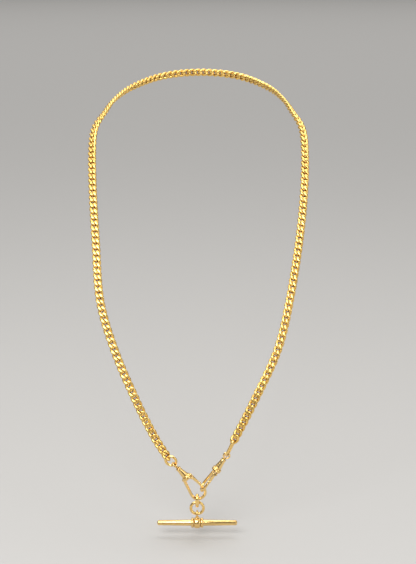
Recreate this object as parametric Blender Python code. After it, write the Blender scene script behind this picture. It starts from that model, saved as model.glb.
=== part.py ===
"""Curb-link watch chain with a dog clip at each end and a T-bar drop.

All sizes are in millimetres and are scaled to metres when a mesh is made.
+Z is up, the front of the chain faces -Y, and the origin is the middle of the nape.
Each run of curb links is one body. Neighbouring runs interlock with a real gap.
"""
import math

import bpy
import numpy as np

MM = 0.001

# Curb chain
CHAIN_WIDTH = 3.5
WIRE = 1.0
TWIST = math.radians(-58.0)
OVAL_POWER = 3.0
FREE_GAP = 0.16
JOINED_GAP = -0.35
LINK_STEPS = 8
LINK_SIDES = 4
SQUARE_R = 0.53
NECK_RUNS = 6
NECK_RUN_LINKS = 7
STRAND_RUNS = 11
STRAND_RUN_LINKS = 4
# How many curb links of the right strand the long end link stands in the place of
END_LINK_SPAN = 3

# Drape of the strands, from the nape to the lower end: how far the left and the right one
# lie from the middle, and their y and z
DRAPE = (
    (0.0, 0.0, 0.0, 0.0),
    (19.0, 19.0, -4.0, -1.5),
    (33.5, 33.0, -18.0, -5.5),
    (41.0, 40.0, -34.0, -9.8),
    (44.5, 43.5, -46.0, -14.0),
    (48.4, 47.3, -56.0, -20.0),
    (49.0, 48.1, -66.0, -28.7),
    (47.9, 47.1, -79.6, -44.6),
    (45.8, 44.3, -93.7, -64.4),
    (43.1, 39.5, -109.0, -87.5),
    (36.5, 34.0, -119.0, -107.0),
    (27.1, 24.0, -127.7, -126.7),
    (19.1, 15.9, -130.6, -142.6),
    (13.3, 11.0, -130.6, -152.4),
)
# The way the broad side of the chain faces at each of those points
FACING = (
    (0.0, 1.0, 0.3),
    (0.35, 0.85, 0.4),
    (0.7, 0.5, 0.55),
    (0.75, 0.05, 0.65),
    (0.7, -0.25, 0.7),
    (0.5, -0.45, 0.75),
    (0.3, -0.6, 0.7),
    (0.12, -0.76, 0.6),
    (0.05, -0.82, 0.55),
    (0.0, -0.86, 0.48),
    (0.0, -0.9, 0.4),
    (0.0, -0.95, 0.28),
    (0.0, -1.0, 0.08),
    (0.0, -1.0, 0.0),
)

# Rings and plain links: centreline radius or half sizes, and wire radius
JUMP_RING_R = 2.4
JUMP_RING_WIRE = 0.57
END_LINK_WIRE = 0.4
END_LINK_HALF_WIDTH = 1.3
T_LINK_WIRE = 0.7
T_LINK_HALF_LENGTH = 2.3
T_LINK_HALF_WIDTH = 1.5
T_RING_R = 2.77
T_RING_WIRE = 0.6
HANG_GAP = 0.15
EYE_SLACK = 0.3
RING_TURN = math.radians(60.0)
END_ROLL = math.radians(-40.0)
ROLLED_LINKS = 7
END_LINK_SEAT = 0.14
END_LINK_TURN = math.radians(30.0)

# Dog clip, measured along its axis from the middle of the swivel eye
EYE_R = 1.3
EYE_WIRE = 0.38
STEM_R = 0.42
STEM_END = 4.0
BORE_R = 0.58
BORE_END = 4.3
BARREL = (
    (1.95, 0.95),
    (2.15, 1.15),
    (6.9, 1.62),
    (7.15, 2.0),
    (8.2, 2.05),
    (8.55, 1.6),
)
EAR_R = 0.62
EAR_AT = (7.9, 2.05)
HOOK_PATH = (
    (7.9, -1.5),
    (9.4, -2.2),
    (12.6, -3.2),
    (15.9, -4.1),
    (17.7, -3.95),
    (18.9, -2.8),
    (19.3, -1.1),
    (18.9, 0.6),
    (17.8, 1.7),
    (16.3, 2.1),
    (14.7, 2.15),
)
HOOK_WIRE = 0.58
NOSE_WIRE = 0.46
HOOKED_AT = (15.9, 2.12)
HOOKING_AT = (18.02, -1.1)
PIVOT_AT = (9.25, 1.85)
PIN_R = 0.2
PIN_HOLE_R = 0.27
PIN_HALF = 1.15
LUG_R = 0.55
LUG_FROM = 0.62
LUG_TO = 1.05
GATE_HALF = 0.5
GATE_END = 14.15

# Where the clips hang
LEFT_AIM = math.radians(-48.4)
RIGHT_AIM = math.radians(-124.5)

# T-bar
ROD_HALF = 17.35
ROD_R_MIDDLE = 1.28
ROD_R_END = 1.03
SLEEVE_HALF = 2.6
SLEEVE_R = 2.32
BAND_R = 2.05
BAND_FROM = 1.45
BAND_TO = 2.5
T_EYE_R = 1.22
T_EYE_WIRE = 0.42
T_DROP = 4.3

GOLD = (0.83, 0.58, 0.22, 1.0)
PALE_GOLD = (0.86, 0.64, 0.30, 1.0)


def unit(v):
    v = np.asarray(v, float)
    return v / np.linalg.norm(v)


def spline(points, per=24):
    """A smooth curve through the points, as a dense row of points."""
    p = np.asarray(points, float)
    p = np.vstack([2 * p[0] - p[1], p, 2 * p[-1] - p[-2]])
    rows = []
    for i in range(1, len(p) - 2):
        for t in np.arange(per) / per:
            a = -0.5 * t**3 + t**2 - 0.5 * t
            b = 1.5 * t**3 - 2.5 * t**2 + 1
            c = -1.5 * t**3 + 2 * t**2 + 0.5 * t
            d = 0.5 * t**3 - 0.5 * t**2
            rows.append(a * p[i - 1] + b * p[i] + c * p[i + 1] + d * p[i + 2])
    rows.append(p[-2])
    return np.array(rows)


def from_nape(points, per=24):
    """The same, level at its first point, which is the middle of a whole that is its own mirror image."""
    mirrored = np.array(points[1])
    mirrored[:-2] *= -1
    return spline([mirrored, *points], per)[per:]


def along(curve):
    steps = np.linalg.norm(np.diff(curve, axis=0), axis=1)
    return np.r_[0.0, np.cumsum(steps)]


def at_lengths(curve, measure, lengths):
    return np.array([np.interp(lengths, measure, curve[:, k]) for k in range(curve.shape[1])]).T


def tube(path, normals, radii, sides, closed):
    """A round wire swept along the path. Each normal sets where its ring of points starts."""
    path = np.asarray(path, float)
    count = len(path)
    if closed:
        ahead = np.roll(path, -1, axis=0) - np.roll(path, 1, axis=0)
    else:
        ahead = np.gradient(path, axis=0)
    radii = np.broadcast_to(radii, (count,))
    verts = []
    for i in range(count):
        t = unit(ahead[i])
        n = unit(normals[i] - np.dot(normals[i], t) * t)
        b = np.cross(t, n)
        for k in range(sides):
            turn = 2 * math.pi * k / sides
            verts.append(path[i] + radii[i] * (math.cos(turn) * n + math.sin(turn) * b))
    faces = []
    for i in range(count if closed else count - 1):
        j = (i + 1) % count
        for k in range(sides):
            m = (k + 1) % sides
            faces.append((i * sides + k, i * sides + m, j * sides + m, j * sides + k))
    if not closed:
        faces.append(tuple(range(sides - 1, -1, -1)))
        faces.append(tuple((count - 1) * sides + k for k in range(sides)))
    return np.array(verts), faces


def ring(radius, wire, steps, sides):
    """A round ring in its own (0, 1) plane, about its third axis."""
    turn = 2 * math.pi * np.arange(steps) / steps
    path = np.c_[radius * np.cos(turn), radius * np.sin(turn), np.zeros(steps)]
    return tube(path, path, wire, sides, True)


def long_link(half_length, half_width, wire, ends, sides):
    """A plain link with straight sides, along its first axis."""
    straight = half_length - half_width
    turn = np.linspace(-math.pi / 2, math.pi / 2, ends)
    right = np.c_[straight + half_width * np.cos(turn), half_width * np.sin(turn)]
    path = np.vstack([right, -right])
    path = np.c_[path, np.zeros(len(path))]
    return tube(path, np.tile([0.0, 0.0, 1.0], (len(path), 1)), wire, sides, True)


def curb_link(reach_back, reach_on):
    """One twisted oval link along its first axis, with its broad side facing its third."""
    turn = 2 * math.pi * (np.arange(LINK_STEPS) + 0.5) / LINK_STEPS
    c, s = np.cos(turn), np.sin(turn)
    power = 2 / OVAL_POWER
    reach = np.where(c > 0, reach_on, reach_back)
    # The points of a coarse oval lie on a slightly larger one, so that its sides keep the width
    grow = 1 / math.cos(math.pi / LINK_STEPS) ** 0.5
    x = reach * np.sign(c) * abs(c) ** power * grow
    y = (CHAIN_WIDTH - WIRE) / 2 * np.sign(s) * abs(s) ** power * grow
    x = np.clip(x, -reach_back, reach_on)
    y = np.clip(y, -(CHAIN_WIDTH - WIRE) / 2, (CHAIN_WIDTH - WIRE) / 2)
    lean = TWIST * x / reach
    path = np.c_[x, y * np.cos(lean), y * np.sin(lean)]
    normals = np.c_[np.zeros(LINK_STEPS), -np.sin(lean), np.cos(lean)]
    across = np.cross(normals, np.roll(path, -1, axis=0) - np.roll(path, 1, axis=0))
    corners = normals + across / np.linalg.norm(across, axis=1)[:, None]
    return tube(path, corners, SQUARE_R, LINK_SIDES, True)


def turned(profile, steps):
    """A solid of revolution about the first axis from (distance along, radius) points."""
    verts, faces = [], []
    for a, r in profile:
        for k in range(steps):
            turn = 2 * math.pi * k / steps
            verts.append((a, r * math.cos(turn), r * math.sin(turn)))
    rows = len(profile)
    for i in range(rows - 1):
        for k in range(steps):
            m = (k + 1) % steps
            faces.append((i * steps + k, i * steps + m, (i + 1) * steps + m, (i + 1) * steps + k))
    faces.append(tuple(range(steps - 1, -1, -1)))
    faces.append(tuple((rows - 1) * steps + k for k in range(steps)))
    return np.array(verts), faces


def sleeve(profile, bore, steps):
    """A solid of revolution about the first axis with a straight hole through it."""
    loop = list(profile) + [(profile[-1][0], bore), (profile[0][0], bore)]
    verts, faces = [], []
    for a, r in loop:
        for k in range(steps):
            turn = 2 * math.pi * k / steps
            verts.append((a, r * math.cos(turn), r * math.sin(turn)))
    for i in range(len(loop)):
        j = (i + 1) % len(loop)
        for k in range(steps):
            m = (k + 1) % steps
            faces.append((i * steps + k, i * steps + m, j * steps + m, j * steps + k))
    return np.array(verts), faces


def ball(radius, steps):
    rows = steps // 2
    profile = []
    for i in range(rows + 1):
        turn = math.pi * (i / rows) * 0.96 + math.pi * 0.02
        profile.append((-radius * math.cos(turn), radius * math.sin(turn)))
    return turned(profile, steps)


class Frame:
    """An origin with three axes, which places a local shape in the world."""

    def __init__(self, origin, first, second):
        self.o = np.asarray(origin, float)
        self.u = unit(first)
        self.v = unit(np.asarray(second, float) - np.dot(second, self.u) * self.u)
        self.w = np.cross(self.u, self.v)

    def point(self, u, v, w=0.0):
        return self.o + u * self.u + v * self.v + w * self.w

    def place(self, shape):
        verts, faces = shape
        moved = self.o + verts @ np.array([self.u, self.v, self.w])
        return moved, faces

    def at(self, u, v, w=0.0):
        return Frame(self.point(u, v, w), self.u, self.v)


def gold(name, colour=GOLD, roughness=0.24, metallic=1.0):
    mat = bpy.data.materials.new(name)
    mat.use_nodes = True
    shader = mat.node_tree.nodes["Principled BSDF"]
    shader.inputs["Base Color"].default_value = colour
    shader.inputs["Roughness"].default_value = roughness
    shader.inputs["Metallic"].default_value = metallic
    mat.diffuse_color = colour
    return mat


def mesh_object(name, shape, origin, smooth=True):
    """An object whose own origin is the given point."""
    verts, faces = shape
    mesh = bpy.data.meshes.new(name)
    local = (np.asarray(verts, float) - np.asarray(origin, float)) * MM
    mesh.from_pydata([tuple(v) for v in local], [], [tuple(f) for f in faces])
    mesh.validate()
    mesh.update()
    if smooth:
        mesh.shade_smooth()
    obj = bpy.data.objects.new(name, mesh)
    obj.location = tuple(float(v) * MM for v in origin)
    bpy.context.scene.collection.objects.link(obj)
    return obj


def helper(name, shape, origin):
    obj = mesh_object(name, shape, origin)
    obj.hide_render = True
    obj.display_type = "WIRE"
    return obj


def boolean(obj, other, operation):
    mod = obj.modifiers.new(other.name, "BOOLEAN")
    mod.operation = operation
    mod.solver = "EXACT"
    mod.object = other


def part(name, shapes, origin, colour=GOLD, cuts=(), roughness=0.24):
    """One named node: the first shape joined with the others, less the cuts."""
    obj = mesh_object(name, shapes[0], origin)
    for i, shape in enumerate(shapes[1:]):
        boolean(obj, helper(f"{name}.join{i}", shape, origin), "UNION")
    for i, shape in enumerate(cuts):
        boolean(obj, helper(f"{name}.cut{i}", shape, origin), "DIFFERENCE")
    obj.data.materials.append(gold(name, colour, roughness))
    return obj


def clear_scene():
    for obj in list(bpy.data.objects):
        bpy.data.objects.remove(obj)


class Strand:
    """One side of the chain. side is -1 for the wearer's right, seen on the left."""

    def __init__(self, side, count):
        flip = np.array([side, 1.0, 1.0])
        curve = from_nape(DRAPE)
        facing = from_nape(FACING)
        measure = along(np.c_[curve[:, :2].mean(axis=1), curve[:, 2:]])
        own = 0 if side < 0 else 1
        lengths = np.linspace(0.0, measure[-1], count + 1)
        self.contacts = at_lengths(curve[:, [own, 2, 3]], measure, lengths) * flip
        middles = (lengths[1:] + lengths[:-1]) / 2
        self.facing = at_lengths(facing, measure, middles) * flip
        self.side = side

    def frame(self, i):
        i %= len(self.facing)
        a, b = self.contacts[i], self.contacts[i + 1]
        down = unit(b - a)
        n = self.facing[i]
        n = unit(n - np.dot(n, down) * down)
        across = np.cross(n, down)
        # The jump ring rolls the last links of its strand a little
        rolled = max(0, i + 1 + ROLLED_LINKS - len(self.facing)) / ROLLED_LINKS
        roll = END_ROLL * rolled if self.side < 0 else 0.0
        return Frame((a + b) / 2, down, math.cos(roll) * across + math.sin(roll) * n)

    def run(self, first, last):
        """The links from first to last, as placed shapes."""
        shapes = []
        for i in range(first, last):
            gap_back = FREE_GAP if i == first else JOINED_GAP
            gap_on = FREE_GAP if i == last - 1 else JOINED_GAP
            chord = np.linalg.norm(self.contacts[i + 1] - self.contacts[i])
            link = curb_link((chord + WIRE + gap_back) / 2, (chord + WIRE + gap_on) / 2)
            shapes.append(self.frame(i).place(link))
        return shapes


def hook_path():
    flat = spline([(u, v, 0.0) for u, v in HOOK_PATH], 4)
    return flat[::2] if len(flat) % 2 else flat


def dog_clip(name, frame):
    """A dog clip on its own axis: swivel eye, body with its hook, gate and gate pin."""
    eye_frame = Frame(frame.o, frame.u, frame.w)
    eye = eye_frame.place(ring(EYE_R, EYE_WIRE, 14, 6))
    stem = frame.place(turned(((EYE_R, STEM_R), (STEM_END, STEM_R)), 10))
    part(f"{name}_swivel_eye", [eye, stem], frame.o)

    barrel = frame.place(turned(BARREL, 16))
    path = hook_path()
    radii = np.interp(np.linspace(0, 1, len(path)), (0, 0.75, 1), (HOOK_WIRE, HOOK_WIRE, NOSE_WIRE))
    facing = np.tile([0.0, 0.0, 1.0], (len(path), 1))
    hook = frame.place(tube(path, facing, radii, 8, False))
    shapes = [barrel, hook]
    for side in (1, -1):
        shapes.append(frame.at(EAR_AT[0], side * EAR_AT[1]).place(ball(EAR_R, 8)))
    cross = Frame(frame.point(*PIVOT_AT), frame.w, frame.u)
    for side in (1, -1):
        low, high = sorted((side * LUG_FROM, side * LUG_TO))
        lug = cross.place(turned(((low, LUG_R), (high, LUG_R)), 10))
        shapes.append(lug)
        foot = Frame(frame.point(8.6, 1.3), frame.w, frame.u)
        shapes.append(foot.place(turned(((low, LUG_R), (high, LUG_R)), 8)))
    bore = frame.place(turned(((0.5, BORE_R), (BORE_END, BORE_R)), 12))
    hole = cross.place(turned(((-2.0, PIN_HOLE_R), (2.0, PIN_HOLE_R)), 8))
    part(f"{name}_body", shapes, frame.o, cuts=[bore, hole])

    pin = cross.place(turned(((-PIN_HALF, PIN_R), (PIN_HALF, PIN_R)), 8))
    part(f"{name}_gate_pin", [pin], frame.point(*PIVOT_AT), PALE_GOLD)

    lever = gate_lever(frame)
    part(f"{name}_gate", [lever], frame.point(*PIVOT_AT), cuts=[hole])


def gate_lever(frame):
    """The sprung lever from the pivot to the nose, with a thumb notch near its end."""
    outline = (
        (PIVOT_AT[0] - 0.5, 1.5),
        (PIVOT_AT[0] - 0.5, 2.15),
        (PIVOT_AT[0], 2.4),
        (12.4, 2.62),
        (12.9, 2.42),
        (13.4, 2.78),
        (GATE_END, 2.7),
        (GATE_END, 1.7),
        (12.0, 1.62),
        (PIVOT_AT[0], 1.3),
    )
    verts, faces = [], []
    for w in (-GATE_HALF, GATE_HALF):
        for u, v in outline:
            verts.append((u, v, w))
    n = len(outline)
    faces.append(tuple(range(n)))
    faces.append(tuple(2 * n - 1 - k for k in range(n)))
    for k in range(n):
        m = (k + 1) % n
        faces.append((k, k + n, m + n, m))
    return frame.place((np.array(verts), faces))


def chain():
    """The curb chain: neck runs, then the strand runs, on each side."""
    neck = NECK_RUNS * NECK_RUN_LINKS
    count = neck + STRAND_RUNS * STRAND_RUN_LINKS
    for side, word in ((-1, "left"), (1, "right")):
        strand = Strand(side, count)
        for k in range(NECK_RUNS):
            first = k * NECK_RUN_LINKS
            shapes = strand.run(first, first + NECK_RUN_LINKS)
            part(f"{word}_neck_run_{k + 1:02d}", shapes, strand.contacts[first])
        for k in range(STRAND_RUNS):
            first = neck + k * STRAND_RUN_LINKS
            last = first + STRAND_RUN_LINKS
            if side == 1 and k == STRAND_RUNS - 1:
                last -= END_LINK_SPAN
            shapes = strand.run(first, last)
            part(f"{word}_strand_run_{k + 1:02d}", shapes, strand.contacts[first])
    return Strand(-1, count), Strand(1, count)


def hardware(left, right):
    # Left: last curb link, jump ring, dog clip
    foot = left.contacts[-1]
    last = left.frame(-1)
    aim = np.array([math.cos(LEFT_AIM), 0.0, math.sin(LEFT_AIM)])
    grip = (WIRE / 2 + JUMP_RING_WIRE + HANG_GAP) / 2
    middle = foot + (JUMP_RING_R - grip) * aim
    across = math.cos(RING_TURN) * last.v + math.sin(RING_TURN) * last.w
    ring_shape = ring(JUMP_RING_R, JUMP_RING_WIRE, 20, 7)
    part("jump_ring", [Frame(middle, aim, across).place(ring_shape)], middle)
    eye_gap = EYE_R - EYE_WIRE - JUMP_RING_WIRE - HANG_GAP
    eye = middle + (JUMP_RING_R + eye_gap) * aim
    left_clip = Frame(eye, aim, (-aim[2], 0.0, aim[0]))
    dog_clip("left_clip", left_clip)

    # Right: the clip whose loop is hooked round the left one's nose
    held = left_clip.point(*HOOKED_AT)
    aim = np.array([math.cos(RIGHT_AIM), 0.0, math.sin(RIGHT_AIM)])
    reach = math.hypot(*HOOKING_AT)
    eye = held - reach * aim
    off = math.atan2(HOOKING_AT[1], HOOKING_AT[0])
    front = np.array([0.0, -1.0, 0.0])
    axis = math.cos(off) * aim - math.sin(off) * front
    across = math.sin(off) * aim + math.cos(off) * front
    right_clip = Frame(eye, axis, across)
    dog_clip("right_clip", right_clip)

    # Right: the long link between the last curb link and the swivel eye
    top = right.contacts[-1 - END_LINK_SPAN]
    last = right.frame(-1 - END_LINK_SPAN)
    down = unit(eye - top)
    top_wire = top - ((WIRE / 2 + END_LINK_WIRE + FREE_GAP) / 2 + END_LINK_SEAT) * down
    low_wire = eye - (EYE_R - EYE_WIRE - END_LINK_WIRE - EYE_SLACK) * down
    half = np.linalg.norm(low_wire - top_wire) / 2
    link = long_link(half, END_LINK_HALF_WIDTH, END_LINK_WIRE, 5, 6)
    across = math.cos(END_LINK_TURN) * last.w + math.sin(END_LINK_TURN) * last.v
    part("end_link", [Frame((top_wire + low_wire) / 2, down, across).place(link)], top)

    # The drop: link, ring and T-bar below the lowest point of the left hook
    path = hook_path()
    world = np.array([left_clip.point(*p) for p in path])
    low = world[np.argmin(world[:, 2])]
    up = np.array([0.0, 0.0, 1.0])
    t_top = low + (HOOK_WIRE + HANG_GAP + T_LINK_WIRE) * up
    middle = t_top - T_LINK_HALF_LENGTH * up
    link = long_link(T_LINK_HALF_LENGTH, T_LINK_HALF_WIDTH, T_LINK_WIRE, 5, 7)
    part("t_link", [Frame(middle, -up, (0.0, 1.0, 0.0)).place(link)], low)

    bottom = middle - T_LINK_HALF_LENGTH * up
    ring_top = bottom + (T_LINK_WIRE + HANG_GAP + T_RING_WIRE) * up
    middle = ring_top - T_RING_R * up
    part("t_ring", [Frame(middle, -up, (1.0, 0.0, 0.0)).place(ring(T_RING_R, T_RING_WIRE, 20, 7))], bottom)

    hang = middle - T_RING_R * up
    bar = hang - T_DROP * up
    eye = Frame(hang, -up, (0.0, 1.0, 0.0))
    neck_top = T_EYE_R
    neck_end = T_DROP - SLEEVE_R - 0.03
    shapes = [eye.place(ring(T_EYE_R, T_EYE_WIRE, 12, 6))]
    shapes.append(eye.place(turned(((neck_top, 0.55), (neck_end, 0.85)), 8)))
    part("t_bar_eye", shapes, hang)

    across = Frame(bar, (1.0, 0.0, 0.0), (0.0, 1.0, 0.0))
    rod_profile = (
        (-ROD_HALF, ROD_R_END - 0.4),
        (-ROD_HALF + 0.15, ROD_R_END - 0.12),
        (-ROD_HALF + 0.5, ROD_R_END),
        (-SLEEVE_HALF, ROD_R_MIDDLE),
        (SLEEVE_HALF, ROD_R_MIDDLE),
        (ROD_HALF - 0.5, ROD_R_END),
        (ROD_HALF - 0.15, ROD_R_END - 0.12),
        (ROD_HALF, ROD_R_END - 0.4),
    )
    part("t_bar_rod", [across.place(turned(rod_profile, 14))], bar)
    core = ((-1.35, 1.75), (-1.2, 2.15), (-0.6, SLEEVE_R), (0.6, SLEEVE_R), (1.2, 2.15), (1.35, 1.75))
    part("t_bar_sleeve", [across.place(sleeve(core, ROD_R_MIDDLE + 0.06, 16))], bar)
    for side, word in ((-1, "left"), (1, "right")):
        mid = side * (BAND_FROM + BAND_TO) / 2
        half = (BAND_TO - BAND_FROM) / 2
        band = ((-half, 1.75), (-half / 2, BAND_R), (half / 2, BAND_R), (half, 1.75))
        ring_frame = across.at(mid, 0.0)
        part(f"t_bar_band_{word}", [ring_frame.place(sleeve(band, ROD_R_MIDDLE + 0.06, 16))], ring_frame.o)


clear_scene()
hardware(*chain())
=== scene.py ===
"""Looks of the gold watch chain: its links, rings, dog clips and T-bar in fine detail.

Sizes are in millimetres in the CAD model's frame, and are scaled to metres when a mesh is made.
+Z is up, the front of the chain faces -Y, and the origin is the middle of the nape.
"""

import math

import bpy
import numpy as np
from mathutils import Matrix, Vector

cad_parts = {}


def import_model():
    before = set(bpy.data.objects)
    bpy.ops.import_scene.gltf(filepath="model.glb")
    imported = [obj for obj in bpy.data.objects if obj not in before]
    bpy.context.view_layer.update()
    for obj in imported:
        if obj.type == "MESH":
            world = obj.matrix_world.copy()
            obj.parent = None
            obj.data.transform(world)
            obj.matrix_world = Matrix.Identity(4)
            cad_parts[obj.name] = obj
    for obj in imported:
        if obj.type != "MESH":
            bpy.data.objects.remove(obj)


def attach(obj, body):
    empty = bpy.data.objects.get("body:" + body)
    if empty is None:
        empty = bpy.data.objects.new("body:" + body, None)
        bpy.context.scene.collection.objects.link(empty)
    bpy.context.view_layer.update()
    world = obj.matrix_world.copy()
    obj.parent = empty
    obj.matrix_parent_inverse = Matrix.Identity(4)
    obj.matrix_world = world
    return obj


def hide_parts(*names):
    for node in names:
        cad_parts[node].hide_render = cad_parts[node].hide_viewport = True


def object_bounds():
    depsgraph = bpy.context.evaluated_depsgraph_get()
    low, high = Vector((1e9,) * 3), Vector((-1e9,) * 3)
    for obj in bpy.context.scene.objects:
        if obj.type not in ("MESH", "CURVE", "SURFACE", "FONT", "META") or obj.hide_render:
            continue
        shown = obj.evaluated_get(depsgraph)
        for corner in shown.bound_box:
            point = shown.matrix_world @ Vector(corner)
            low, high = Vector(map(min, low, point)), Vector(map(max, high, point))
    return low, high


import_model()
cad_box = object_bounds()

MM = 0.001
RING_NAME = "jump_ring"

# Curb chain: the links lie where the CAD model's runs do
CHAIN_WIDTH = 3.85
WIRE = 1.33
TWIST = math.radians(-56.0)
OVAL_POWER = 2.2
LINK_GAP = 0.02
LINK_STEPS = 44
LINK_SIDES = 14
LINK_SEAM_DIP = 0.06
# Past this height the links' broad sides have lost a share of their height to wear
WORN_FLAT = 0.92
WORN_SHARE = 0.35
# How far a link's own shade can go towards the deep colour
TINT_SHARE = 0.22
NECK_RUNS = 6
NECK_RUN_LINKS = 7
STRAND_RUNS = 11
STRAND_RUN_LINKS = 4
# How many curb links of the right strand the long end link stands in the place of
END_LINK_SPAN = 3

# Drape of the strands, from the nape to the lower end: how far the left and the right one
# lie from the middle, and their y and z
DRAPE = (
    (0.0, 0.0, 0.0, 0.0),
    (19.0, 19.0, -4.0, -1.5),
    (33.5, 33.0, -18.0, -5.5),
    (41.0, 40.0, -34.0, -9.8),
    (44.5, 43.5, -46.0, -14.0),
    (48.4, 47.3, -56.0, -20.0),
    (49.0, 48.1, -66.0, -28.7),
    (47.9, 47.1, -79.6, -44.6),
    (45.8, 44.3, -93.7, -64.4),
    (43.1, 39.5, -109.0, -87.5),
    (36.5, 34.0, -119.0, -107.0),
    (27.1, 24.0, -127.7, -126.7),
    (19.1, 15.9, -130.6, -142.6),
    (13.3, 11.0, -130.6, -152.4),
)
# The way the broad side of the chain faces at each of those points
FACING = (
    (0.0, 1.0, 0.3),
    (0.35, 0.85, 0.4),
    (0.7, 0.5, 0.55),
    (0.75, 0.05, 0.65),
    (0.7, -0.25, 0.7),
    (0.5, -0.45, 0.75),
    (0.3, -0.6, 0.7),
    (0.12, -0.76, 0.6),
    (0.05, -0.82, 0.55),
    (0.0, -0.86, 0.48),
    (0.0, -0.9, 0.4),
    (0.0, -0.95, 0.28),
    (0.0, -1.0, 0.08),
    (0.0, -1.0, 0.0),
)

# Rings and plain links: centreline radius or half sizes, and wire radius
SEAM_DIP = 0.05
JUMP_RING_R = 2.4
JUMP_RING_WIRE = 0.57
END_LINK_WIRE = 0.5
END_LINK_HALF_WIDTH = 1.15
T_LINK_WIRE = 0.78
T_LINK_HALF_LENGTH = 2.3
T_LINK_HALF_WIDTH = 1.5
T_RING_R = 2.77
T_RING_WIRE = 0.6

# Gaps between what hangs in what, and how the ends of the strands turn
FREE_GAP = 0.16
HANG_GAP = 0.15
EYE_SLACK = 0.3
RING_TURN = math.radians(60.0)
END_ROLL = math.radians(-40.0)
ROLLED_LINKS = 7
END_LINK_SEAT = 0.14
END_LINK_TURN = math.radians(-25.0)

# Dog clip, measured along its axis from the middle of the swivel eye
EYE_R = 1.3
EYE_WIRE = 0.38
STEM_R = 0.42
STEM_END = 4.0
BORE_R = 0.58
BORE_END = 4.3
HOOK_PATH = (
    (7.9, -1.5),
    (9.4, -2.2),
    (12.6, -3.2),
    (15.9, -4.1),
    (17.7, -3.95),
    (18.9, -2.8),
    (19.3, -1.1),
    (18.9, 0.6),
    (17.8, 1.7),
    (16.3, 2.1),
    (14.7, 2.15),
)
HOOK_WIRE = 0.64
NOSE_WIRE = 0.55
# The share of the hook's length at which its wire starts to thin towards the nose
NOSE_FROM = 0.75
HOOKED_AT = (15.9, 2.12)
HOOKING_AT = (18.02, -1.1)
PIVOT_AT = (9.25, 1.85)
PIN_R = 0.2
PIN_HALF = 1.15
PIN_HEAD_R = 0.3
LUG_R = 0.55
LUG_FROM = 0.62
LUG_TO = 1.05
LUG_FOOT = (8.6, 1.3)
EAR_AT = (7.9, 2.05)
EAR_R = 0.62
EAR_SQUASH = 0.95
GATE_HALF = 0.58
GATE_END = 14.15
GATE_KNUCKLE_R = 0.54
GATE_EDGE = 0.16
LEFT_AIM = math.radians(-48.4)
RIGHT_AIM = math.radians(-124.5)

# T-bar
ROD_HALF = 17.55
ROD_R_MIDDLE = 1.38
ROD_R_END = 1.13
SLEEVE_R = 2.45
SLEEVE_BORE = 1.4
CORE_HALF = 1.4
BAND_R = 2.2
BAND_FROM = 1.45
BAND_TO = 2.65
T_EYE_R = 1.22
T_EYE_WIRE = 0.42
T_DROP = 4.3

# Stage, in metres
FLOOR_HALF = 12.0
FLOOR_DROP = 0.004


# ---------------------------------------------------------------- curves and placing

def unit(v):
    v = np.asarray(v, float)
    return v / np.linalg.norm(v)


def spline(points, per=24):
    """A smooth curve through the points, as a dense row of points."""
    p = np.asarray(points, float)
    p = np.vstack([2 * p[0] - p[1], p, 2 * p[-1] - p[-2]])
    rows = []
    for i in range(1, len(p) - 2):
        for t in np.arange(per) / per:
            a = -0.5 * t**3 + t**2 - 0.5 * t
            b = 1.5 * t**3 - 2.5 * t**2 + 1
            c = -1.5 * t**3 + 2 * t**2 + 0.5 * t
            d = 0.5 * t**3 - 0.5 * t**2
            rows.append(a * p[i - 1] + b * p[i] + c * p[i + 1] + d * p[i + 2])
    rows.append(p[-2])
    return np.array(rows)


def from_nape(points, per=24):
    """The smooth curve through points from the nape on, level there: the other side mirrors it."""
    mirrored = np.array(points[1])
    mirrored[:-2] *= -1
    return spline([mirrored, *points], per)[per:]


def along(curve):
    steps = np.linalg.norm(np.diff(curve, axis=0), axis=1)
    return np.r_[0.0, np.cumsum(steps)]


def at_lengths(curve, measure, lengths):
    return np.array([np.interp(lengths, measure, curve[:, k]) for k in range(curve.shape[1])]).T


class Frame:
    """An origin with three axes, which places a local shape in the world."""

    def __init__(self, origin, first, second):
        self.o = np.asarray(origin, float)
        self.u = unit(first)
        self.v = unit(np.asarray(second, float) - np.dot(second, self.u) * self.u)
        self.w = np.cross(self.u, self.v)

    def point(self, u, v, w=0.0):
        return self.o + u * self.u + v * self.v + w * self.w

    def at(self, u, v, w=0.0):
        return Frame(self.point(u, v, w), self.u, self.v)

    def place(self, shape):
        points, faces, corners = shape
        return self.o + points @ np.array([self.u, self.v, self.w]), faces, corners


# ---------------------------------------------------------------- shapes
# A shape is its points, its faces, and for each face corner a UV in mm, along and round the wire.

def skin(rows, closed):
    """Faces over a grid of points that goes round along its second axis, with flat caps if it is open."""
    count, sides = rows.shape[:2]
    middles = rows.mean(axis=1)
    last = middles[:1] if closed else middles[-1:]
    lengths = along(np.vstack([middles, last]))
    girth = np.linalg.norm(np.diff(rows, axis=1, append=rows[:, :1]), axis=2).sum(axis=1).mean()
    faces = []
    corners = []
    for i in range(count if closed else count - 1):
        j = (i + 1) % count
        for k in range(sides):
            m = (k + 1) % sides
            faces.append((i * sides + k, i * sides + m, j * sides + m, j * sides + k))
            low, high = lengths[i], lengths[i + 1]
            start, end = girth * k / sides, girth * (k + 1) / sides
            corners += [(low, start), (low, end), (high, end), (high, start)]
    if not closed:
        faces.append(tuple(range(sides - 1, -1, -1)))
        faces.append(tuple((count - 1) * sides + k for k in range(sides)))
        corners += [(0.0, 0.0)] * (2 * sides)
    return rows.reshape(-1, 3), faces, corners


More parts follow.
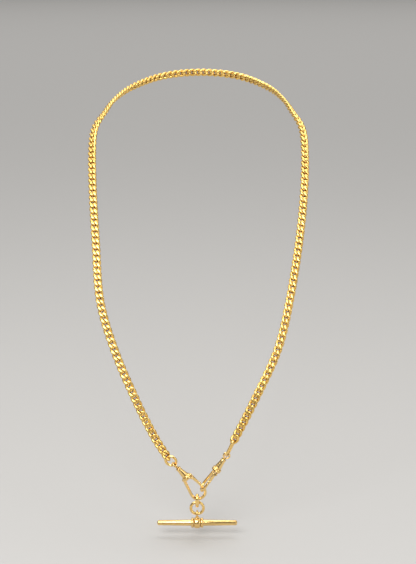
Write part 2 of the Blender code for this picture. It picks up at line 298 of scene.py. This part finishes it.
def tube(path, normals, radii, sides, closed):
    """A round wire swept along the path. Each normal sets where its ring of points starts."""
    path = np.asarray(path, float)
    if closed:
        ahead = np.roll(path, -1, axis=0) - np.roll(path, 1, axis=0)
    else:
        ahead = np.gradient(path, axis=0)
    ahead /= np.linalg.norm(ahead, axis=1)[:, None]
    n = normals - (normals * ahead).sum(axis=1)[:, None] * ahead
    n /= np.linalg.norm(n, axis=1)[:, None]
    b = np.cross(ahead, n)
    radii = np.broadcast_to(radii, (len(path),))[:, None, None]
    turn = (2 * math.pi * np.arange(sides) / sides)[None, :, None]
    rows = path[:, None] + radii * (np.cos(turn) * n[:, None] + np.sin(turn) * b[:, None])
    return skin(rows, closed)


def round_end(path, radius, steps=5):
    """The path with a dome's worth of points added past its end, and the radii that make the dome."""
    path = np.asarray(path, float)
    ahead = unit(path[-1] - path[-2])
    turn = np.linspace(0.0, math.pi / 2, steps + 1)[1:] * 0.97
    dome = path[-1] + radius * np.sin(turn)[:, None] * ahead
    return np.vstack([path, dome]), radius * np.cos(turn)


def seam(steps, at, depth):
    """Wire radii that dip at one place, where the ring was closed and soldered."""
    share = np.ones(steps)
    share[at % steps] = 1 - depth
    return share


def ring(radius, wire, steps=96, sides=24):
    """A round ring in its own (0, 1) plane, about its third axis, with its soldered seam."""
    turn = 2 * math.pi * np.arange(steps) / steps
    path = np.c_[radius * np.cos(turn), radius * np.sin(turn), np.zeros(steps)]
    return tube(path, path, wire * seam(steps, steps // 3, SEAM_DIP), sides, True)


def long_link(half_length, half_width, wire, ends=20, sides=24):
    """A plain link with straight sides, along its first axis."""
    straight = half_length - half_width
    turn = np.linspace(-math.pi / 2, math.pi / 2, ends)
    right = np.c_[straight + half_width * np.cos(turn), half_width * np.sin(turn)]
    run = np.linspace(1, -1, 8)[1:-1, None] * straight
    top = np.hstack([run, np.full_like(run, half_width)])
    path = np.vstack([right, top, -right, -top])
    path = np.c_[path, np.zeros(len(path))]
    across = np.tile([0.0, 0.0, 1.0], (len(path), 1))
    return tube(path, across, wire * seam(len(path), ends + 3, SEAM_DIP), sides, True)


def curb_link(reach):
    """One twisted oval link along its first axis, its broad sides worn a little flat."""
    turn = 2 * math.pi * (np.arange(4 * LINK_STEPS) + 0.5) / (4 * LINK_STEPS)
    c, s = np.cos(turn), np.sin(turn)
    power = 2 / OVAL_POWER
    x = reach * np.sign(c) * abs(c) ** power
    y = (CHAIN_WIDTH - WIRE) / 2 * np.sign(s) * abs(s) ** power
    lean = TWIST * x / reach
    path = np.c_[x, y * np.cos(lean), y * np.sin(lean), lean]
    closed = np.vstack([path, path[:1]])
    measure = along(closed[:, :3])
    even = at_lengths(closed, measure, measure[-1] * np.arange(LINK_STEPS) / LINK_STEPS)
    lean = even[:, 3]
    across = np.c_[np.zeros(LINK_STEPS), -np.sin(lean), np.cos(lean)]
    radii = WIRE / 2 * seam(LINK_STEPS, LINK_STEPS // 4, LINK_SEAM_DIP)
    points, faces, corners = tube(even[:, :3], across, radii, LINK_SIDES, True)
    proud = np.maximum(abs(points[:, 2]) - WORN_FLAT, 0.0) * (1 - WORN_SHARE)
    points[:, 2] -= np.sign(points[:, 2]) * proud
    return points, faces, corners


def fillet(profile, radius=0.1, steps=3):
    """A turned profile with its corners rounded off, except its two ends."""
    p = np.asarray(profile, float)
    rows = [p[0]]
    for before, corner, after in zip(p, p[1:], p[2:]):
        back, on = before - corner, after - corner
        reach = min(radius, 0.45 * np.linalg.norm(back), 0.45 * np.linalg.norm(on))
        start, end = corner + reach * unit(back), corner + reach * unit(on)
        for t in np.linspace(0.0, 1.0, steps + 1):
            rows.append((1 - t) ** 2 * start + 2 * t * (1 - t) * corner + t**2 * end)
    rows.append(p[-1])
    return np.array(rows)


def turned(profile, steps=56, closed=False):
    """A solid of revolution about the first axis from (distance along, radius) points."""
    p = np.asarray(profile, float)
    turn = 2 * math.pi * np.arange(steps) / steps
    rows = np.empty((len(p), steps, 3))
    rows[:, :, 0] = p[:, :1]
    rows[:, :, 1] = p[:, 1:] * np.cos(turn)
    rows[:, :, 2] = p[:, 1:] * np.sin(turn)
    return skin(rows, closed)


def bored(profile, bore, steps=56):
    """A solid of revolution about the first axis with a straight hole through it."""
    p = np.asarray(profile, float)
    inner = [(p[-1][0], bore), (p[0][0], bore)]
    return turned(np.vstack([p, inner]), steps, True)


def bulge(start, end, low, high, steps=12):
    """A rounded band's profile, from one end to the other and out to its crown."""
    turn = np.linspace(0.0, math.pi, steps + 1)
    middle, half = (start + end) / 2, (end - start) / 2
    return np.c_[middle - half * np.cos(turn), low + (high - low) * np.sin(turn) ** 0.7]


def ball(radius, squash=1.0, steps=32):
    """A ball along its first axis, flattened along it by squash."""
    turn = np.linspace(0.03, math.pi - 0.03, steps // 2)
    return turned(np.c_[-radius * squash * np.cos(turn), radius * np.sin(turn)], steps)


def joined(shapes):
    """Several shapes as one."""
    points, faces, corners, start = [], [], [], 0
    for p, f, c in shapes:
        points.append(p)
        faces += [tuple(start + k for k in face) for face in f]
        corners += c
        start += len(p)
    return np.vstack(points), faces, corners


# ---------------------------------------------------------------- materials

def node(tree, kind, **values):
    """A new node with its properties set, and its inputs by name where the name is one of them."""
    made = tree.nodes.new(kind)
    for name, value in values.items():
        if name in made.inputs:
            made.inputs[name].default_value = value
        else:
            setattr(made, name, value)
    return made


def ramp(tree, source, low, high, start=0.0, end=1.0):
    """The source value, taken from low..high to start..end and held there outside."""
    made = node(tree, "ShaderNodeMapRange", interpolation_type="SMOOTHSTEP")
    for name, value in (("From Min", low), ("From Max", high), ("To Min", start), ("To Max", end)):
        made.inputs[name].default_value = value
    tree.links.new(source, made.inputs["Value"])
    return made.outputs["Result"]


def calculate(tree, operation, first, second):
    """The result of a maths operation on two values, each a number or another node's output."""
    made = node(tree, "ShaderNodeMath", operation=operation)
    for socket, value in zip(made.inputs, (first, second)):
        if isinstance(value, (int, float)):
            socket.default_value = value
        else:
            tree.links.new(value, socket)
    return made.outputs[0]


def mixed(tree, share, first, second):
    """Colour first with a share of colour second in it."""
    made = node(tree, "ShaderNodeMix", data_type="RGBA")
    for socket, value in zip((made.inputs[0], made.inputs[6], made.inputs[7]), (share, first, second)):
        if isinstance(value, (int, float, tuple)):
            socket.default_value = value
        else:
            tree.links.new(value, socket)
    return made.outputs[2]


def noise(tree, where, scale, detail=3.0, roughness=0.55):
    made = node(tree, "ShaderNodeTexNoise", Scale=scale, Detail=detail, Roughness=roughness)
    tree.links.new(where, made.inputs["Vector"])
    return made.outputs["Fac"]


def stretched(tree, where, scale, turn=(0.0, 0.0, 0.0)):
    made = node(tree, "ShaderNodeMapping", Scale=scale, Rotation=turn)
    tree.links.new(where, made.inputs["Vector"])
    return made.outputs["Vector"]


def worn_gold(name, colour, deep, roughness, drawn=1.0, tinted=False):
    """Old polished gold: its colour drifts, its crevices are painted dark as shade and dirt, and fine
    scratches blur its shine.

    drawn is how strongly the marks of drawing or turning run along the piece's own UV.
    """
    material = bpy.data.materials.new(name)
    material.use_nodes = True
    tree = material.node_tree
    shader = tree.nodes["Principled BSDF"]
    place = node(tree, "ShaderNodeTexCoord").outputs["Object"]
    in_mm = stretched(tree, place, (1 / MM,) * 3)
    wire_map = node(tree, "ShaderNodeUVMap", uv_map="wire").outputs["UV"]

    # Colour: a slow drift, a film of tarnish in patches, and painted shade with dirt in the crevices
    drift = ramp(tree, noise(tree, in_mm, 0.12, 2.0), 0.35, 0.65)
    film = ramp(tree, noise(tree, in_mm, 0.9, 5.0, 0.65), 0.52, 0.78, 0.0, 0.45)
    pale = tuple(min(1.0, c * 1.08 + 0.02) for c in colour[:3]) + (1.0,)
    body = mixed(tree, drift, colour, pale)
    if tinted:
        tint = node(tree, "ShaderNodeAttribute", attribute_name="link_tint").outputs["Fac"]
        body = mixed(tree, calculate(tree, "MULTIPLY", tint, TINT_SHARE), body, deep)
    body = mixed(tree, film, body, deep)
    # Painted shade: ambient occlusion darkens the colour in crevices and between links. It stands partly for
    # dirt, which also dulls the roughness there.
    hollow = node(tree, "ShaderNodeAmbientOcclusion", samples=8, Distance=0.9 * MM)
    broken = noise(tree, in_mm, 3.0, 4.0, 0.6)
    open_share = calculate(tree, "ADD", hollow.outputs["AO"], calculate(tree, "MULTIPLY", broken, 0.25))
    shade_and_dirt = ramp(tree, open_share, 0.3, 0.85, 0.95, 0.0)
    shade_and_dirt_colour = (deep[0] * 0.34, deep[1] * 0.25, deep[2] * 0.18, 1.0)
    body = mixed(tree, shade_and_dirt, body, shade_and_dirt_colour)
    tree.links.new(body, shader.inputs["Base Color"])

    # Marks: long ones along the wire, and fine stray scratches across it
    streaks = noise(tree, stretched(tree, wire_map, (0.35, 14.0, 1.0)), 1.0, 4.0, 0.7)
    scratches = None
    for scale, turn in (((9.0, 0.5, 1.1), (0.3, 0.5, 0.9)), ((0.6, 11.0, 0.9), (0.8, 0.2, 0.4))):
        field = noise(tree, stretched(tree, in_mm, scale, turn), 1.0, 2.0, 0.5)
        off_line = calculate(tree, "ABSOLUTE", calculate(tree, "SUBTRACT", field, 0.5), 0.0)
        line = ramp(tree, off_line, 0.0, 0.02, 1.0, 0.0)
        scratches = line if scratches is None else calculate(tree, "MAXIMUM", scratches, line)
    patchy = ramp(tree, noise(tree, in_mm, 0.5, 2.0), 0.45, 0.6)
    scratches = calculate(tree, "MULTIPLY", scratches, patchy)
    dents = noise(tree, in_mm, 1.1, 2.0, 0.5)

    rough = calculate(tree, "ADD", roughness, calculate(tree, "MULTIPLY", streaks, 0.07 * drawn))
    rough = calculate(tree, "ADD", rough, calculate(tree, "MULTIPLY", scratches, 0.10))
    rough = calculate(tree, "ADD", rough, calculate(tree, "MULTIPLY", shade_and_dirt, 0.28))
    tree.links.new(rough, shader.inputs["Roughness"])

    height = calculate(tree, "MULTIPLY", dents, 0.030)
    height = calculate(tree, "ADD", height, calculate(tree, "MULTIPLY", streaks, 0.0035 * drawn))
    height = calculate(tree, "SUBTRACT", height, calculate(tree, "MULTIPLY", scratches, 0.003))
    bump = node(tree, "ShaderNodeBump", Strength=1.0, Distance=MM)
    tree.links.new(height, bump.inputs["Height"])
    tree.links.new(bump.outputs["Normal"], shader.inputs["Normal"])
    shader.inputs["Metallic"].default_value = 1.0
    return material


GOLD = (0.92, 0.62, 0.18, 1.0)
DEEP = (0.62, 0.30, 0.07, 1.0)
chain_gold = worn_gold("chain_gold", GOLD, DEEP, 0.26, 0.35, tinted=True)
ring_gold = worn_gold("ring_gold", (0.92, 0.63, 0.22, 1.0), DEEP, 0.17, 0.8)
clip_gold = worn_gold("clip_gold", (0.92, 0.64, 0.25, 1.0), DEEP, 0.15, 0.5)
bar_gold = worn_gold("bar_gold", (0.88, 0.60, 0.23, 1.0), DEEP, 0.19, 1.0)
pin_gold = worn_gold("pin_gold", (0.93, 0.68, 0.32, 1.0), DEEP, 0.16, 0.5)


# ---------------------------------------------------------------- pieces

def mesh_of(name, shape, material):
    points, faces, corners = shape
    mesh = bpy.data.meshes.new(name)
    mesh.from_pydata((points * MM).tolist(), [], faces)
    wire = mesh.uv_layers.new(name="wire")
    wire.data.foreach_set("uv", np.array(corners, np.float32).ravel())
    mesh.materials.append(material)
    return mesh


def shown(name, mesh, body, stands_for, sharp):
    """The mesh as an object that moves with its body, with the CAD node it stands for hidden."""
    mesh.shade_smooth()
    mesh.set_sharp_from_angle(angle=math.radians(sharp))
    obj = bpy.data.objects.new(name, mesh)
    bpy.context.scene.collection.objects.link(obj)
    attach(obj, body)
    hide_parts(stands_for)
    return obj


def piece(name, shape, body, stands_for, material, sharp=40.0):
    """A shown piece made of one shape."""
    mesh = mesh_of(name, shape, material)
    mesh.update()
    return shown(name, mesh, body, stands_for, sharp)


def welded_piece(name, shapes, body, stands_for, material, sharp=32.0):
    """A shown piece of several closed shapes melted into one, as soldered or cast parts are."""
    made = []
    for i, shape in enumerate(shapes):
        mesh = mesh_of(f"{name}_{i}", shape, material)
        obj = bpy.data.objects.new(mesh.name, mesh)
        bpy.context.scene.collection.objects.link(obj)
        made.append(obj)
    whole = made[0]
    for other in made[1:]:
        union = whole.modifiers.new(other.name, "BOOLEAN")
        union.operation = "UNION"
        union.solver = "EXACT"
        union.object = other
    graph = bpy.context.evaluated_depsgraph_get()
    mesh = bpy.data.meshes.new_from_object(whole.evaluated_get(graph), depsgraph=graph)
    mesh.name = name
    for obj in made:
        bpy.data.objects.remove(obj)
    return shown(name, mesh, body, stands_for, sharp)


# ---------------------------------------------------------------- curb chain

class Strand:
    """One side of the chain. side is -1 for the wearer's right, seen on the left."""

    def __init__(self, side, count):
        flip = np.array([side, 1.0, 1.0])
        curve = from_nape(DRAPE)
        facing = from_nape(FACING)
        measure = along(np.c_[curve[:, :2].mean(axis=1), curve[:, 2:]])
        own = 0 if side < 0 else 1
        lengths = np.linspace(0.0, measure[-1], count + 1)
        self.contacts = at_lengths(curve[:, [own, 2, 3]], measure, lengths) * flip
        middles = (lengths[1:] + lengths[:-1]) / 2
        self.facing = at_lengths(facing, measure, middles) * flip
        self.side = side

    def frame(self, i):
        i %= len(self.facing)
        a, b = self.contacts[i], self.contacts[i + 1]
        down = unit(b - a)
        n = self.facing[i]
        n = unit(n - np.dot(n, down) * down)
        across = np.cross(n, down)
        # The ring below rolls the last links of its strand a little
        rolled = max(0, i + 1 + ROLLED_LINKS - len(self.facing)) / ROLLED_LINKS
        roll = END_ROLL * rolled if self.side < 0 else 0.0
        return Frame((a + b) / 2, down, math.cos(roll) * across + math.sin(roll) * n)

    def link(self, i):
        chord = np.linalg.norm(self.contacts[i + 1] - self.contacts[i])
        return self.frame(i).place(curb_link((chord + WIRE + LINK_GAP) / 2))


def run_of_links(name, strand, first, last, body, stands_for, rng):
    """A run of separate interlocked links, each with its own shade, as one piece."""
    links = [strand.link(i) for i in range(first, last)]
    obj = piece(name, joined(links), body, stands_for, chain_gold)
    tints = np.repeat(rng.random(len(links)), len(links[0][0]))
    shade = obj.data.attributes.new("link_tint", "FLOAT", "POINT")
    shade.data.foreach_set("value", tints.astype(np.float32))


def chain():
    """Both strands of curb chain, left and right, from the nape to their lower ends."""
    rng = np.random.default_rng(7)
    neck = NECK_RUNS * NECK_RUN_LINKS
    count = neck + STRAND_RUNS * STRAND_RUN_LINKS
    strands = []
    for side, word in ((-1, "left"), (1, "right")):
        strand = Strand(side, count)
        strands.append(strand)
        for k in range(NECK_RUNS):
            first = k * NECK_RUN_LINKS
            name = f"{word}_neck_links_{k + 1:02d}"
            node_name = f"{word}_neck_run_{k + 1:02d}"
            run_of_links(name, strand, first, first + NECK_RUN_LINKS, "neck", node_name, rng)
        for k in range(STRAND_RUNS):
            first = neck + k * STRAND_RUN_LINKS
            last = first + STRAND_RUN_LINKS
            if side == 1 and k == STRAND_RUNS - 1:
                last -= END_LINK_SPAN
            name = f"{word}_strand_links_{k + 1:02d}"
            node_name = f"{word}_strand_run_{k + 1:02d}"
            run_of_links(name, strand, first, last, f"{word}_run_{k + 1:02d}", node_name, rng)
    return strands


# ---------------------------------------------------------------- dog clips

def hook_path(per):
    return spline([(u, v, 0.0) for u, v in HOOK_PATH], per)


def swivel_eye(word, clip):
    eye = Frame(clip.o, clip.u, clip.w).place(ring(EYE_R, EYE_WIRE))
    stem_profile = fillet((
        (EYE_R - 0.05, 0.3),
        (EYE_R + 0.1, 0.58),
        (EYE_R + 0.45, 0.58),
        (EYE_R + 0.55, STEM_R),
        (STEM_END, STEM_R),
        (STEM_END + 0.02, 0.3),
    ), 0.08)
    stem = clip.place(turned(stem_profile, 32))
    name = f"{word}_clip_swivel_eye"
    welded_piece(f"{name}_fine", [eye, stem], f"{word}_eye", name, clip_gold)


def barrel_profile():
    """From the lip round the swivel bore, along the taper, to the collar with its two steps."""
    lip = bulge(1.95, 2.5, 1.02, 1.2, 8)
    taper = ((2.6, 1.07), (3.4, 1.1), (6.2, 1.5))
    collar = (
        (6.45, 1.56),
        (6.55, 1.47),
        (6.7, 1.47),
        (6.78, 1.86),
        (7.0, 2.02),
        (7.25, 2.04),
        (7.33, 1.94),
        (7.43, 1.94),
        (7.5, 2.05),
        (8.15, 2.07),
        (8.38, 1.97),
        (8.55, 1.6),
        (8.56, 1.1),
    )
    return np.vstack([lip, fillet(taper + collar, 0.09)])


def clip_body(word, clip):
    """The barrel with its collar and ears, the hook, and the lugs that hold the gate's pin."""
    barrel = clip.place(bored_blind(barrel_profile(), BORE_R, BORE_END))
    path = hook_path(10)
    radii = np.interp(np.linspace(0, 1, len(path)), (0, NOSE_FROM, 1), (HOOK_WIRE, HOOK_WIRE, NOSE_WIRE))
    path, dome = round_end(path, NOSE_WIRE)
    radii = np.r_[radii, dome]
    facing = np.tile([0.0, 0.0, 1.0], (len(path), 1))
    hook = clip.place(tube(path, facing, radii, 26, False))
    shapes = [barrel, hook]
    for side in (1, -1):
        across = Frame(clip.point(EAR_AT[0], side * EAR_AT[1]), side * clip.v, clip.u)
        shapes.append(across.place(ball(EAR_R, EAR_SQUASH)))
    cross = Frame(clip.point(*PIVOT_AT), clip.w, clip.u)
    foot = Frame(clip.point(*LUG_FOOT), clip.w, clip.u)
    for side in (1, -1):
        low, high = sorted((side * LUG_FROM, side * LUG_TO))
        for centre in (cross, foot):
            disc = fillet(((low, 0.3), (low, LUG_R), (high, LUG_R), (high, 0.3)), 0.07)
            shapes.append(centre.place(turned(disc, 32)))
    name = f"{word}_clip_body"
    welded_piece(f"{name}_fine", shapes, f"{word}_clip", name, clip_gold)


def bored_blind(profile, bore, depth):
    """A turned solid with a round hole in its first end, as deep as the given place along it."""
    p = np.asarray(profile, float)
    hole = [(depth, 0.02), (depth, bore), (p[0][0], bore)]
    solid = [(p[-1][0], 0.02)]
    return turned(np.vstack([p, solid, hole]), 56, True)


def gate_pin(word, clip):
    cross = Frame(clip.point(*PIVOT_AT), clip.w, clip.u)
    end = PIN_HALF + 0.06
    half = ((0.0, PIN_R), (LUG_TO, PIN_R), (LUG_TO + 0.02, PIN_HEAD_R), (end, 0.2), (end + 0.03, 0.05))
    profile = [(-a, r) for a, r in half[:0:-1]] + list(half[1:])
    pin = cross.place(turned(fillet(profile, 0.04), 28))
    name = f"{word}_clip_gate_pin"
    piece(f"{name}_fine", pin, f"{word}_clip", name, pin_gold)


def gate(word, clip):
    """The sprung lever from the pivot to the nose, with a thumb notch near its end."""
    start, up = PIVOT_AT
    outline = []
    for turn in np.linspace(-1.9, -4.4, 12):
        outline.append((start + GATE_KNUCKLE_R * math.cos(turn), up + GATE_KNUCKLE_R * math.sin(turn)))
    outline += [
        (start + 3.15, 2.62),
        (start + 3.45, 2.5),
        (start + 3.7, 2.42),
        (start + 3.85, 2.6),
        (start + 4.1, 2.8),
        (GATE_END - 0.35, 2.82),
        (GATE_END, 2.6),
        (GATE_END, 1.75),
        (12.0, 1.62),
        (start + 0.3, 1.28),
    ]
    n = len(outline)
    points = np.array([(u, v, w) for w in (-GATE_HALF, GATE_HALF) for u, v in outline])
    faces = [tuple(range(n)), tuple(2 * n - 1 - k for k in range(n))]
    for k in range(n):
        m = (k + 1) % n
        faces.append((k, k + n, m + n, m))
    corners = []
    for face in faces:
        corners += [tuple(points[i][:2]) for i in face]
    name = f"{word}_clip_gate"
    obj = piece(f"{name}_fine", clip.place((points, faces, corners)), f"{word}_gate", name, clip_gold)
    edge = obj.modifiers.new("edge", "BEVEL")
    edge.width = GATE_EDGE * MM
    edge.segments = 3
    edge.limit_method = "ANGLE"
    edge.angle_limit = math.radians(40.0)


def dog_clip(word, clip):
    swivel_eye(word, clip)
    clip_body(word, clip)
    gate_pin(word, clip)
    gate(word, clip)


# ---------------------------------------------------------------- rings, links and T-bar

def t_bar(hang):
    """The bar with its eye, sleeve and bands, its eye's ring centred on the given point."""
    down = np.array([0.0, 0.0, -1.0])
    bar = hang + T_DROP * down
    eye = Frame(hang, down, (0.0, 1.0, 0.0))
    neck = fillet((
        (T_EYE_R - 0.05, 0.3),
        (T_EYE_R + 0.1, 0.55),
        (T_EYE_R + 0.35, 0.5),
        (T_DROP - SLEEVE_R - 0.25, 0.72),
        (T_DROP - SLEEVE_R - 0.03, 0.95),
        (T_DROP - SLEEVE_R - 0.02, 0.5),
    ), 0.08)
    shapes = [eye.place(ring(T_EYE_R, T_EYE_WIRE)), eye.place(turned(neck, 36))]
    welded_piece("t_bar_eye_fine", shapes, "t_bar", "t_bar_eye", bar_gold)

    across = Frame(bar, (1.0, 0.0, 0.0), (0.0, 1.0, 0.0))
    ends = np.array([(0.0, 0.05), (0.02, 0.4), (0.12, 0.72), (0.32, 0.98), (0.6, ROD_R_END)])
    left = np.c_[ends[:, 0] - ROD_HALF, ends[:, 1]]
    right = np.c_[ROD_HALF - ends[::-1, 0], ends[::-1, 1]]
    middle = [(-CORE_HALF, ROD_R_MIDDLE), (CORE_HALF, ROD_R_MIDDLE)]
    rod = np.vstack([left, middle, right])
    piece("t_bar_rod_fine", across.place(turned(rod, 56)), "t_bar", "t_bar_rod", bar_gold, sharp=60.0)

    core = bulge(-CORE_HALF, CORE_HALF, 1.72, SLEEVE_R, 20)
    piece("t_bar_sleeve_fine", across.place(bored(core, SLEEVE_BORE)), "t_bar", "t_bar_sleeve", bar_gold)
    for side, word in ((-1, "left"), (1, "right")):
        half = (BAND_TO - BAND_FROM) / 2
        band = bulge(-half, half, 1.7, BAND_R, 12)
        place = across.at(side * (BAND_FROM + BAND_TO) / 2, 0.0)
        name = f"t_bar_band_{word}"
        piece(f"{name}_fine", place.place(bored(band, SLEEVE_BORE)), "t_bar", name, bar_gold)


def hardware(left, right):
    """Everything below the two strands, which it hangs from."""
    # Left: last curb link, ring, dog clip
    foot = left.contacts[-1]
    last = left.frame(-1)
    aim = np.array([math.cos(LEFT_AIM), 0.0, math.sin(LEFT_AIM)])
    grip = (WIRE / 2 + JUMP_RING_WIRE + HANG_GAP) / 2
    middle = foot + (JUMP_RING_R - grip) * aim
    across = math.cos(RING_TURN) * last.v + math.sin(RING_TURN) * last.w
    ring_shape = Frame(middle, aim, across).place(ring(JUMP_RING_R, JUMP_RING_WIRE))
    piece(f"{RING_NAME}_fine", ring_shape, RING_NAME, RING_NAME, ring_gold)
    eye_gap = EYE_R - EYE_WIRE - JUMP_RING_WIRE - HANG_GAP
    eye = middle + (JUMP_RING_R + eye_gap) * aim
    left_clip = Frame(eye, aim, (-aim[2], 0.0, aim[0]))
    dog_clip("left", left_clip)

    # Right: the clip whose loop is hooked round the left one's nose
    held = left_clip.point(*HOOKED_AT)
    aim = np.array([math.cos(RIGHT_AIM), 0.0, math.sin(RIGHT_AIM)])
    reach = math.hypot(*HOOKING_AT)
    eye = held - reach * aim
    off = math.atan2(HOOKING_AT[1], HOOKING_AT[0])
    front = np.array([0.0, -1.0, 0.0])
    axis = math.cos(off) * aim - math.sin(off) * front
    across = math.sin(off) * aim + math.cos(off) * front
    dog_clip("right", Frame(eye, axis, across))

    # Right: the long link between the last curb link and the swivel eye
    top = right.contacts[-1 - END_LINK_SPAN]
    last = right.frame(-1 - END_LINK_SPAN)
    down = unit(eye - top)
    top_wire = top - ((WIRE / 2 + END_LINK_WIRE + FREE_GAP) / 2 + END_LINK_SEAT) * down
    low_wire = eye - (EYE_R - EYE_WIRE - END_LINK_WIRE - EYE_SLACK) * down
    half = np.linalg.norm(low_wire - top_wire) / 2
    across = math.cos(END_LINK_TURN) * last.w + math.sin(END_LINK_TURN) * last.v
    link = long_link(half, END_LINK_HALF_WIDTH, END_LINK_WIRE)
    link = Frame((top_wire + low_wire) / 2, down, across).place(link)
    piece("end_link_fine", link, "right_run_11", "end_link", ring_gold)

    # The drop: link, ring and T-bar below the lowest point of the left hook
    path = hook_path(4)[::2]
    placed = np.array([left_clip.point(*p) for p in path])
    low = placed[np.argmin(placed[:, 2])]
    up = np.array([0.0, 0.0, 1.0])
    t_top = low + (HOOK_WIRE + HANG_GAP + T_LINK_WIRE) * up
    middle = t_top - T_LINK_HALF_LENGTH * up
    link = long_link(T_LINK_HALF_LENGTH, T_LINK_HALF_WIDTH, T_LINK_WIRE)
    piece("t_link_fine", Frame(middle, -up, (0.0, 1.0, 0.0)).place(link), "t_link", "t_link", ring_gold)

    bottom = middle - T_LINK_HALF_LENGTH * up
    ring_top = bottom + (T_LINK_WIRE + HANG_GAP + T_RING_WIRE) * up
    middle = ring_top - T_RING_R * up
    ring_shape = Frame(middle, -up, (1.0, 0.0, 0.0)).place(ring(T_RING_R, T_RING_WIRE))
    piece("t_ring_fine", ring_shape, "t_ring", "t_ring", ring_gold)
    t_bar(middle - T_RING_R * up)


# ---------------------------------------------------------------- stage

def floor(level):
    mesh = bpy.data.meshes.new("floor")
    corners = [(x * FLOOR_HALF, y * FLOOR_HALF, level) for x, y in ((-1, -1), (1, -1), (1, 1), (-1, 1))]
    mesh.from_pydata(corners, [], [(0, 1, 2, 3)])
    material = bpy.data.materials.new("floor")
    material.use_nodes = True
    shader = material.node_tree.nodes["Principled BSDF"]
    shader.inputs["Base Color"].default_value = (0.44, 0.43, 0.415, 1.0)
    shader.inputs["Roughness"].default_value = 0.7
    mesh.materials.append(material)
    obj = bpy.data.objects.new("floor", mesh)
    bpy.context.scene.collection.objects.link(obj)


def softbox(name, place, target, size, power):
    data = bpy.data.lights.new(name, "AREA")
    data.shape = "RECTANGLE"
    data.size, data.size_y = size
    data.energy = power
    obj = bpy.data.objects.new(name, data)
    obj.location = place
    obj.rotation_euler = (Vector(target) - Vector(place)).to_track_quat("-Z", "Y").to_euler()
    bpy.context.scene.collection.objects.link(obj)


def world(colour, strength):
    made = bpy.data.worlds.new("studio")
    made.use_nodes = True
    shader = made.node_tree.nodes["Background"]
    shader.inputs["Color"].default_value = colour
    shader.inputs["Strength"].default_value = strength
    bpy.context.scene.world = made


def camera(place, elevation, distance, view_height):
    """Looks down from the front by the elevation. view_height fills the picture's height at that distance."""
    data = bpy.data.cameras.new("camera")
    data.lens = data.sensor_width * distance / view_height
    data.clip_start = 0.01
    data.clip_end = 100.0
    obj = bpy.data.objects.new("camera", data)
    obj.location = place
    obj.rotation_euler = (math.pi / 2 - elevation, 0.0, 0.0)
    bpy.context.scene.collection.objects.link(obj)
    bpy.context.scene.camera = obj


hardware(*chain())

centre = (cad_box[0] + cad_box[1]) / 2
floor(cad_box[0].z - FLOOR_DROP)
world((1.0, 0.98, 0.95, 1.0), 0.2)
softbox("key", (-0.22, -0.66, 0.45), centre, (0.55, 0.4), 6.0)
softbox("fill", (0.6, -0.5, 0.1), centre, (0.25, 0.5), 1.1)
softbox("top", (0.1, 0.05, 0.6), centre, (0.5, 0.3), 1.5)
softbox("ceiling", (0.0, 3.0, 2.5), (0.0, 3.0, 0.0), (8.0, 8.0), 200.0)
camera((0.0039, -0.61171, 0.05906), math.radians(15.4), 0.52, 0.24373)
bpy.context.scene.view_settings.view_transform = "Standard"
